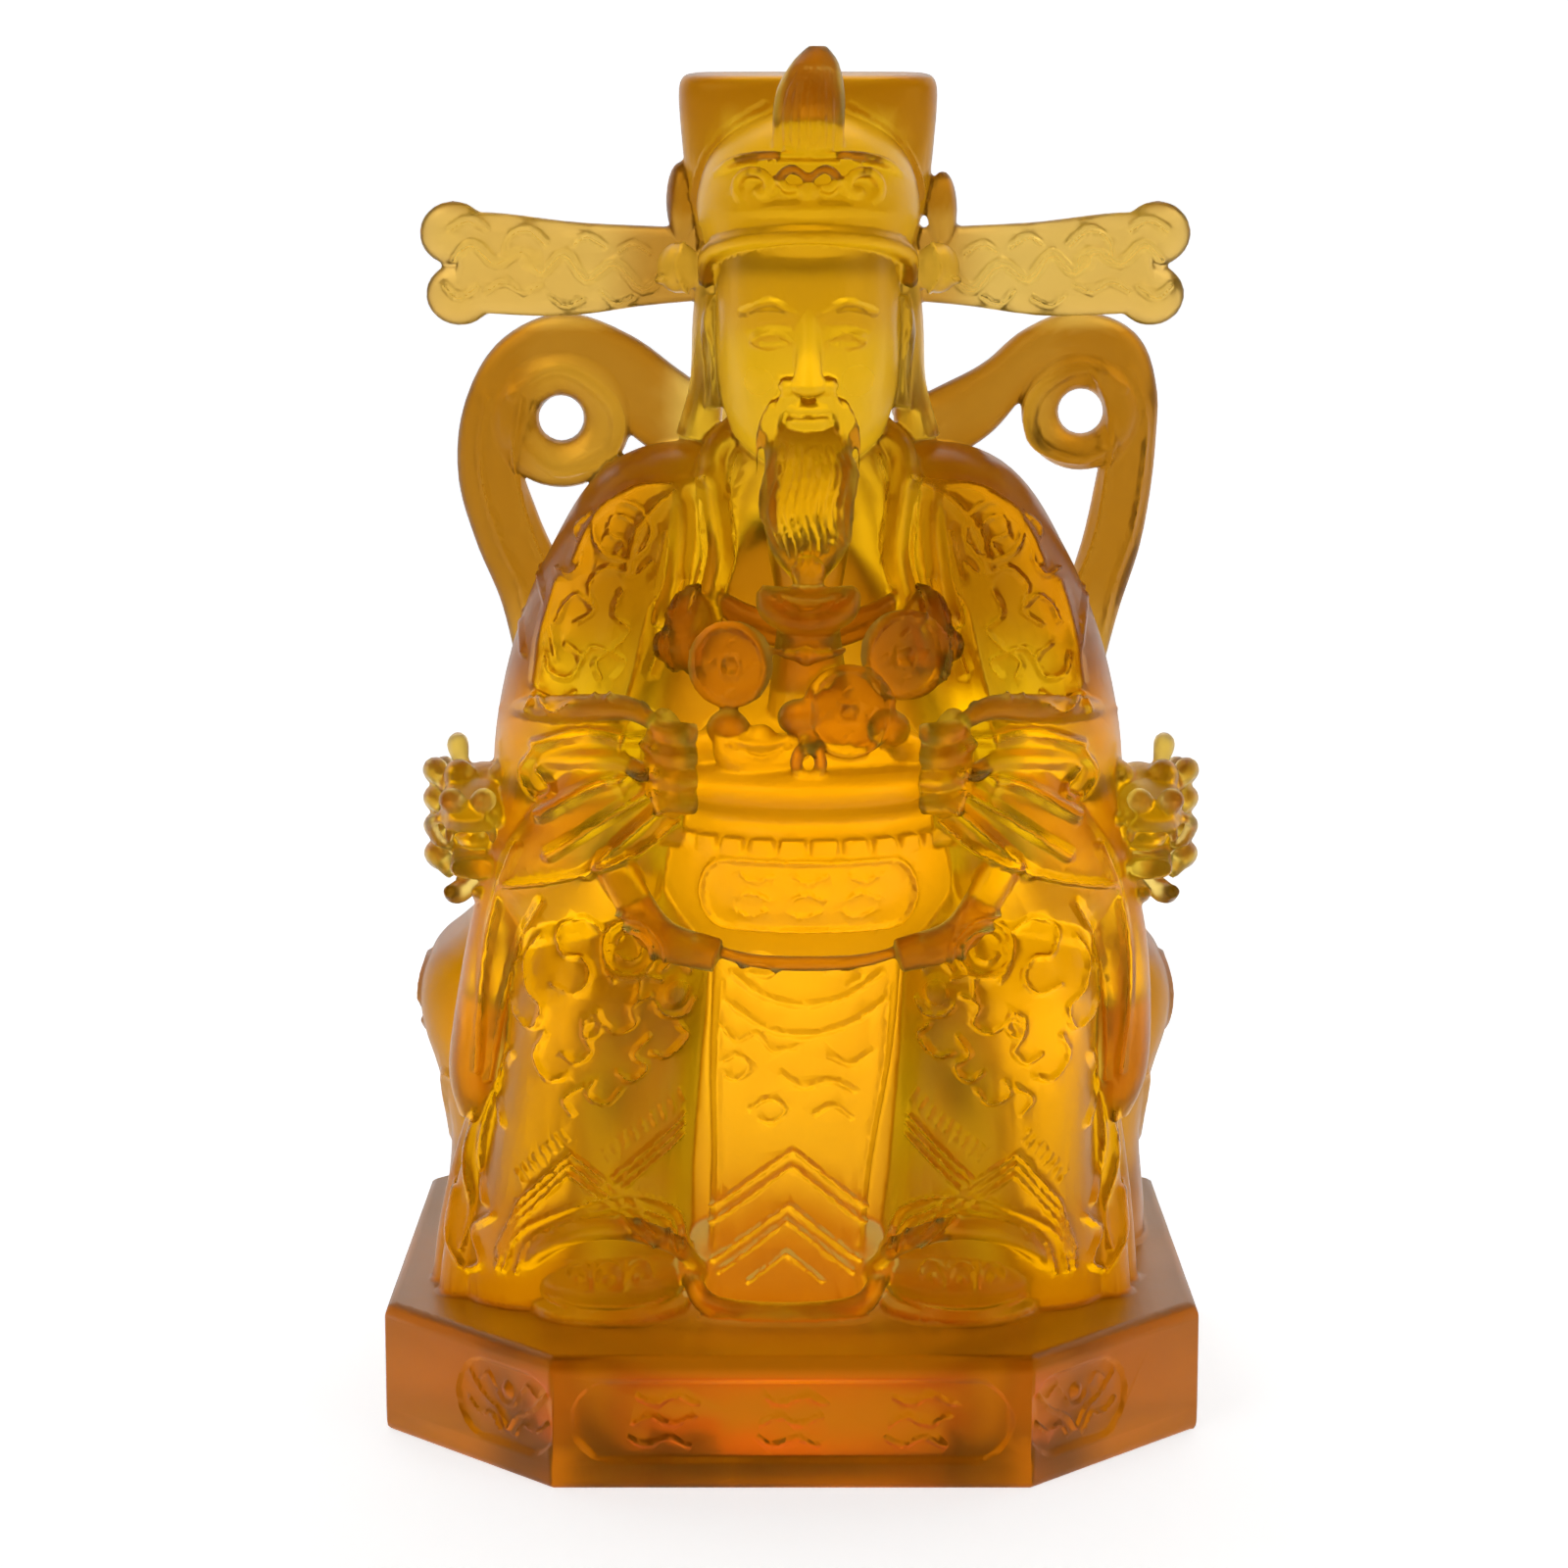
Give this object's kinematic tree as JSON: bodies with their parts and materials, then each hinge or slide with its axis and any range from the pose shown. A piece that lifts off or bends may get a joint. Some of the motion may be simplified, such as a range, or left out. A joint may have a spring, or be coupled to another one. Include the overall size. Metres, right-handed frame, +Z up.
{
  "type": "caishen figure",
  "caption": "Cast glass figure of a seated god of wealth on a throne and chamfered plinth, holding a bowl of treasure; stands on its flat underside.",
  "frame": {"origin": "middle of the underside of the plinth", "axes": "+Z up, the figure faces -Y, +X to the viewer's right"},
  "size_m": [0.1781, 0.142, 0.3],
  "materials": {
    "amber_glass": "satin, frosted, see-through amber"
  },
  "bodies": {
    "root": {"caishen_figure": "amber_glass"}
  },
  "joints": []
}
